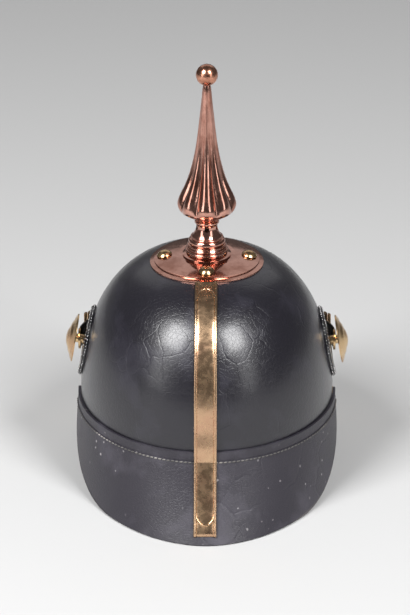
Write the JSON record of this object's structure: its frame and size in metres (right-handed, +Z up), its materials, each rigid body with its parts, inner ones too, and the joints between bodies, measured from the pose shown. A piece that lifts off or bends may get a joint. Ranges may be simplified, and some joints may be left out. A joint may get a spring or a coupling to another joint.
{
  "type": "spiked helmet",
  "caption": "Spiked leather parade helmet with front and rear visors, a spine strip, side rosettes, a buckled chinscale loop that swings, and a fluted spike that unscrews.",
  "frame": {"origin": "on the ground plane under the spike's axis, halfway between the front and rear ends of the visors", "axes": "+Z up along the spike, +Y the way the wearer looks, +X to the wearer's right"},
  "size_m": [0.2054, 0.2711, 0.3075],
  "materials": {
    "black_leather": "varnished, finely crackled",
    "visor_leather": "worn semi-gloss",
    "lining_leather": "matt",
    "liner_leather": "matt",
    "strap_leather": "waxed",
    "brass": "polished, a little tarnished",
    "copper": "polished red brass",
    "white_metal": "polished nickel silver",
    "steel": "plain",
    "black_paint": "gloss black"
  },
  "bodies": {
    "helmet": {"base_plate": "copper", "base_studs": "brass", "cockade_left": "black_paint", "cockade_right": "black_paint", "ear_nuts": "steel", "ear_washers": "steel", "front_star": "brass", "front_visor": "visor_leather", "front_visor_lining": "lining_leather", "front_visor_trim": "brass", "liner": "liner_leather", "neck_bush": "brass", "rear_spine": "brass", "rear_visor": "visor_leather", "rear_visor_lining": "lining_leather", "rosette_left": "brass", "rosette_right": "brass", "skull": "black_leather", "spike_neck": "copper", "spine_nuts": "steel", "spine_washers": "steel", "star_boss": "brass", "star_nuts": "steel", "star_ring": "white_metal", "star_washers": "steel", "stud_nuts": "steel", "stud_washers": "steel", "sweatband": "lining_leather"},
    "seat": {"seat_ring": "copper"},
    "spike": {"spike": "copper", "spike_stud": "steel", "spike_ball": "copper"},
    "chin_scales": {"eyelet_left": "brass", "eyelet_right": "brass", "strap_left": "strap_leather", "strap_right": "strap_leather", "strap_tongue": "strap_leather", "tongue_rivets": "brass", "buckle_frame": "brass", "strap_keeper": "brass", "scales_left": "brass", "scales_right": "brass"},
    "prong": {"buckle_prong": "brass"}
  },
  "joints": [
    {"name": "spike_lift", "type": "slide", "parent": "helmet", "child": "seat", "axis": [0, 0, 1], "range_m": [0, 0.0165]},
    {"name": "spike_turn", "type": "hinge", "parent": "seat", "child": "spike", "pos_m": [0, 0, 0.19], "axis": [0, 0, 1], "range_deg": [0, 3000]},
    {"name": "chin_scales_swing", "type": "hinge", "parent": "helmet", "child": "chin_scales", "pos_m": [0, 0.01, 0.0936], "axis": [1, 0, 0], "range_deg": [0, 40]},
    {"name": "buckle_prong_lift", "type": "hinge", "parent": "chin_scales", "child": "prong", "pos_m": [0.02121, 0.10922, 0.07069], "axis": [0, -0.225, -0.9744], "range_deg": [0, 30]}
  ],
  "couplings": [
    {"joint": "spike_turn", "follows": "spike_lift", "rad_per_m": 3141.6}
  ]
}
